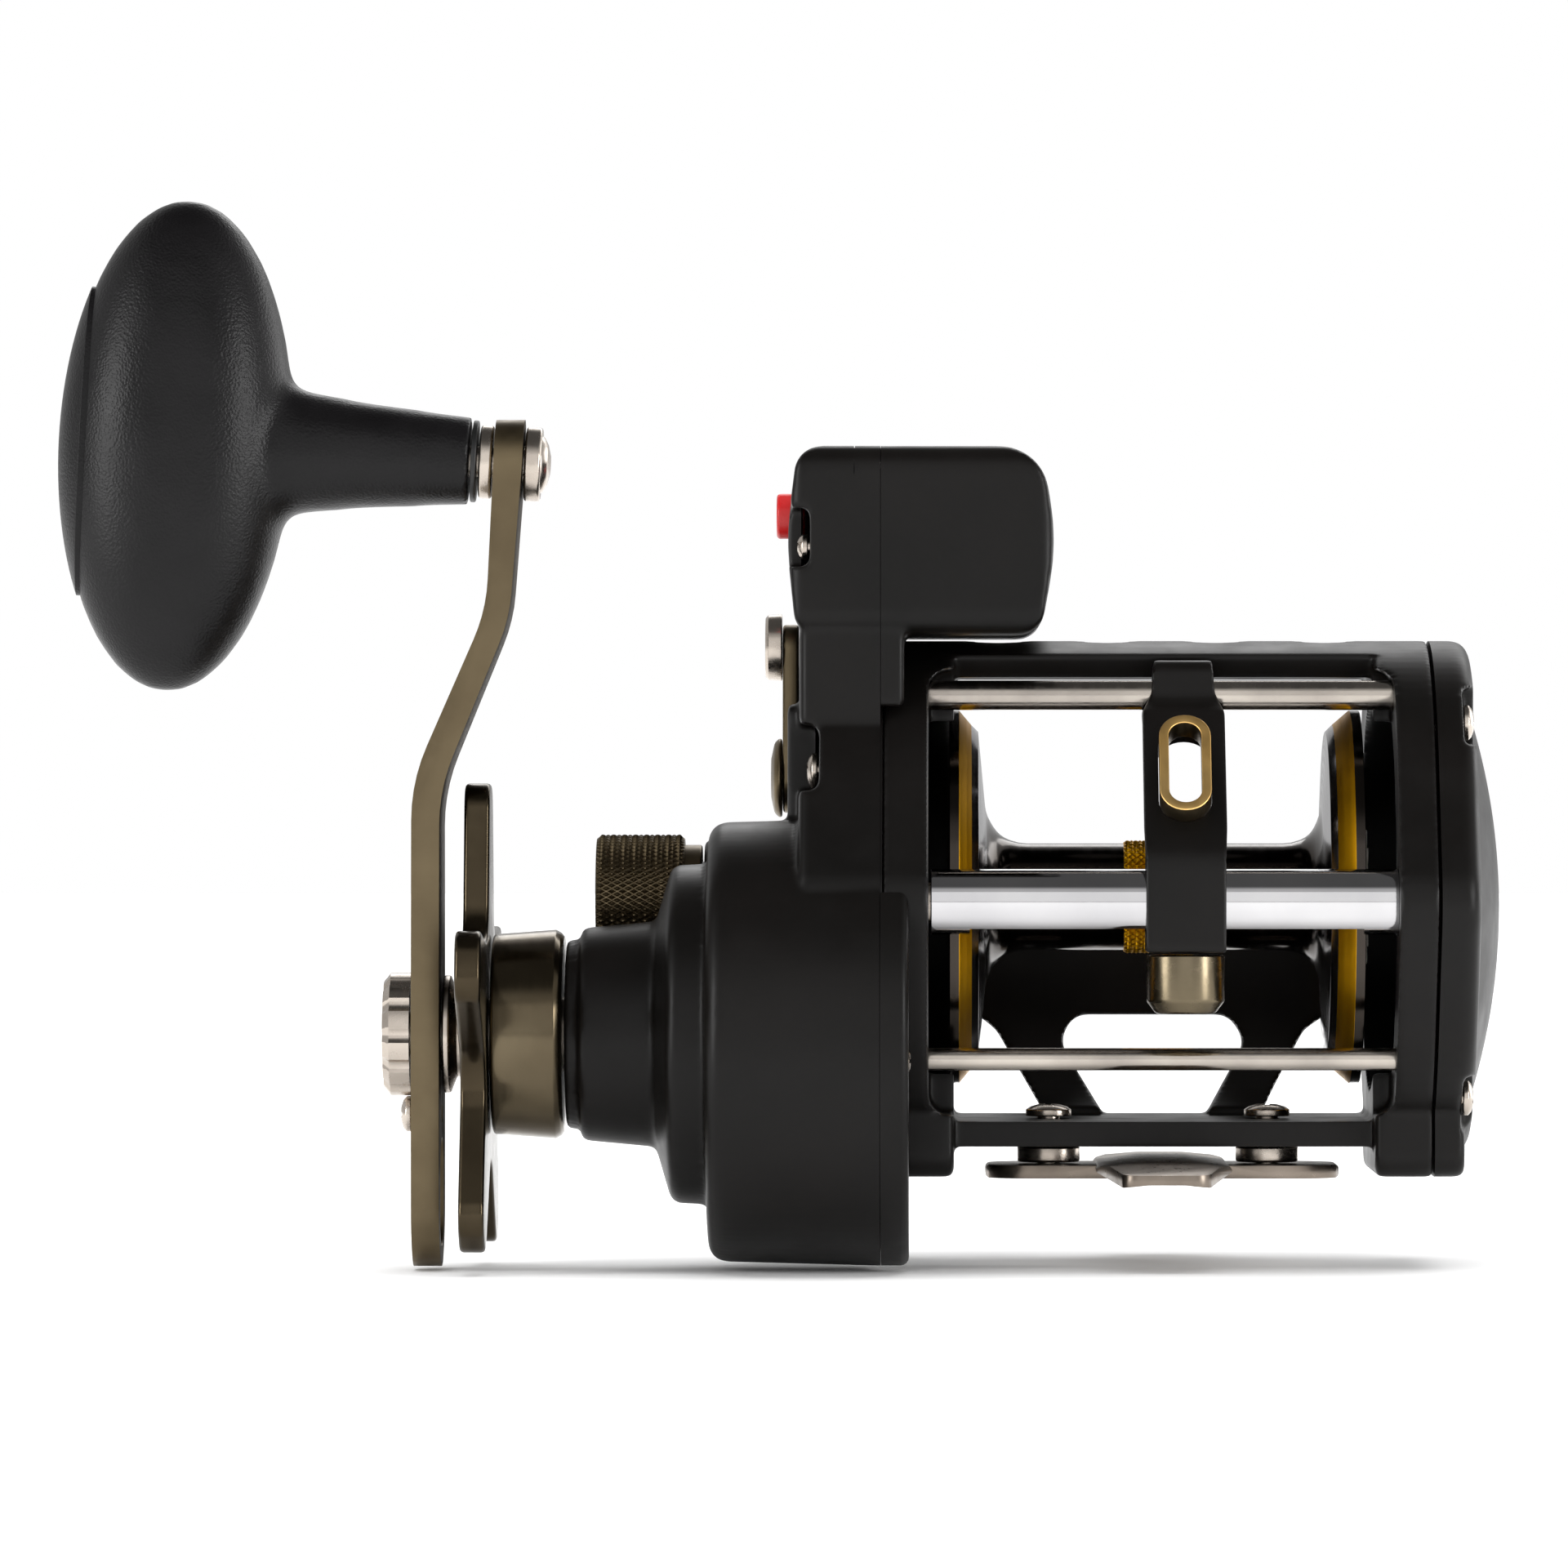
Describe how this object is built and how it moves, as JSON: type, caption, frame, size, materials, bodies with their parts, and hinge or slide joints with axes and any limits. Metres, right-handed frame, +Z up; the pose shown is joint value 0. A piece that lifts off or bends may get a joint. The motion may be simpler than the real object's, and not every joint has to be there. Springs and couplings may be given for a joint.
{
  "type": "level-wind trolling reel",
  "caption": "Trolling reel with line counter, level-wind guide, star drag and T-bar crank knob, for clamping on a rod by its foot.",
  "frame": {"origin": "middle of the reel foot's flat underside, where it sits on the rod", "axes": "+Z up from the rod, X along the spool shaft with the crank on -X, -Y towards the line guide and the rod tip"},
  "size_m": [0.187, 0.0808, 0.1378],
  "materials": {
    "black_alloy": "satin black, fine grain",
    "gunmetal": "satin bronze-grey anodised",
    "polished_gunmetal": "polished bronze-grey anodised",
    "steel": "stainless, turned",
    "chrome": "bright",
    "brass": "machined",
    "eye_gold": "polished",
    "spool_black": "gloss black anodised, gold rims",
    "soft_black": "soft touch, fine grain",
    "black_plastic": "matt",
    "nylon": "moulded",
    "number_white": "moulded, black figures",
    "reset_red": "moulded red",
    "window_clear": "clear lens"
  },
  "bodies": {
    "root": {"frame": "black_alloy", "side_housing": "black_alloy", "inner_side_plate": "black_alloy", "tail_plate": "black_alloy", "counter_shell": "black_alloy", "counter_window": "window_clear", "top_guide_rod": "steel", "bottom_guide_rod": "steel", "level_wind_tube": "chrome", "reel_foot": "steel", "idler_pin": "steel", "spool_bearing_left": "steel", "spool_bearing_right": "steel", "one_way_bearing": "steel", "foot_screw_left": "steel", "foot_spacer_left": "steel", "foot_screw_right": "steel", "foot_spacer_right": "steel", "side_screw": "steel", "counter_screw": "steel", "cover_screw": "steel", "tail_screw_upper_front": "steel", "tail_screw_lower_front": "steel", "tail_screw_upper_rear": "steel", "tail_screw_lower_rear": "steel"},
    "crank": {"crank_arm": "gunmetal", "arm_nut": "steel", "nut_lock_screw": "steel", "crank_shaft": "steel", "arm_spacer": "steel", "main_gear": "brass", "drag_washer": "black_plastic", "knob_stud": "steel", "knob_nut": "steel"},
    "star_drag": {"star_wheel": "polished_gunmetal", "drag_collar": "polished_gunmetal"},
    "knob": {"knob_grip": "soft_black", "knob_panel": "soft_black", "knob_bush": "black_plastic"},
    "spool_body": {"spool": "spool_black", "spool_shaft": "steel", "pinion": "brass", "spool_gear": "nylon", "click_gear": "nylon"},
    "idler": {"idler_gear": "nylon"},
    "worm": {"worm_shaft": "steel", "worm_gear": "nylon"},
    "guide": {"line_guide": "black_alloy", "guide_eye": "eye_gold", "guide_pawl": "brass", "pawl_cap": "polished_gunmetal"},
    "lever": {"free_spool_lever": "gunmetal", "lever_cap": "polished_gunmetal", "lever_button": "chrome"},
    "cast_knob": {"cast_control_knob": "polished_gunmetal"},
    "reset": {"reset_button": "reset_red"},
    "clicker": {"click_button": "soft_black"},
    "wheel_units": {"number_wheel_units": "number_white"},
    "wheel_tens": {"number_wheel_tens": "number_white"},
    "wheel_hundreds": {"number_wheel_hundreds": "number_white"}
  },
  "joints": [
    {"name": "crank_turn", "type": "hinge", "parent": "root", "child": "crank", "pos_m": [0, -0.0163, 0.01938], "axis": [1, 0, 0], "continuous": true},
    {"name": "star_drag_turn", "type": "hinge", "parent": "crank", "child": "star_drag", "pos_m": [0, -0.0163, 0.01938], "axis": [1, 0, 0], "range_deg": [-180, 180]},
    {"name": "knob_spin", "type": "hinge", "parent": "crank", "child": "knob", "pos_m": [-0.0847, -0.0163, 0.0932], "axis": [0.9986, 0, -0.0523], "continuous": true},
    {"name": "spool_spin", "type": "hinge", "parent": "root", "child": "spool_body", "pos_m": [0, 0, 0.037], "axis": [1, 0, 0], "continuous": true},
    {"name": "idler_spin", "type": "hinge", "parent": "root", "child": "idler", "pos_m": [0, -0.0144, 0.03681], "axis": [1, 0, 0], "continuous": true},
    {"name": "worm_spin", "type": "hinge", "parent": "root", "child": "worm", "pos_m": [0, -0.0296, 0.0366], "axis": [1, 0, 0], "continuous": true},
    {"name": "guide_travel", "type": "slide", "parent": "root", "child": "guide", "axis": [1, 0, 0], "range_m": [-0.024, 0.019]},
    {"name": "lever_swing", "type": "hinge", "parent": "root", "child": "lever", "pos_m": [0, 0.009, 0.0526], "axis": [1, 0, 0], "range_deg": [-38, 0]},
    {"name": "cast_knob_turn", "type": "hinge", "parent": "root", "child": "cast_knob", "pos_m": [0, 0, 0.037], "axis": [1, 0, 0], "range_deg": [-180, 180]},
    {"name": "reset_press", "type": "slide", "parent": "root", "child": "reset", "axis": [1, 0, 0], "range_m": [0, 0.001], "stiffness_N_per_m": 600},
    {"name": "click_slide", "type": "slide", "parent": "root", "child": "clicker", "axis": [0, 0, 1], "range_m": [-0.0022, 0.0022]},
    {"name": "wheel_units_spin", "type": "hinge", "parent": "root", "child": "wheel_units", "pos_m": [0, -0.005, 0.0864], "axis": [1, 0, 0], "continuous": true},
    {"name": "wheel_tens_spin", "type": "hinge", "parent": "root", "child": "wheel_tens", "pos_m": [0, -0.005, 0.0864], "axis": [1, 0, 0], "continuous": true},
    {"name": "wheel_hundreds_spin", "type": "hinge", "parent": "root", "child": "wheel_hundreds", "pos_m": [0, -0.005, 0.0864], "axis": [1, 0, 0], "continuous": true}
  ],
  "couplings": [
    {"joint": "spool_spin", "follows": "crank_turn", "ratio": -4.8182},
    {"joint": "idler_spin", "follows": "crank_turn", "ratio": 2.4091},
    {"joint": "worm_spin", "follows": "crank_turn", "ratio": -4.1299},
    {"joint": "wheel_units_spin", "follows": "crank_turn", "ratio": 0.16667},
    {"joint": "wheel_tens_spin", "follows": "crank_turn", "ratio": 0.016667},
    {"joint": "wheel_hundreds_spin", "follows": "crank_turn", "ratio": 0.0016667}
  ]
}
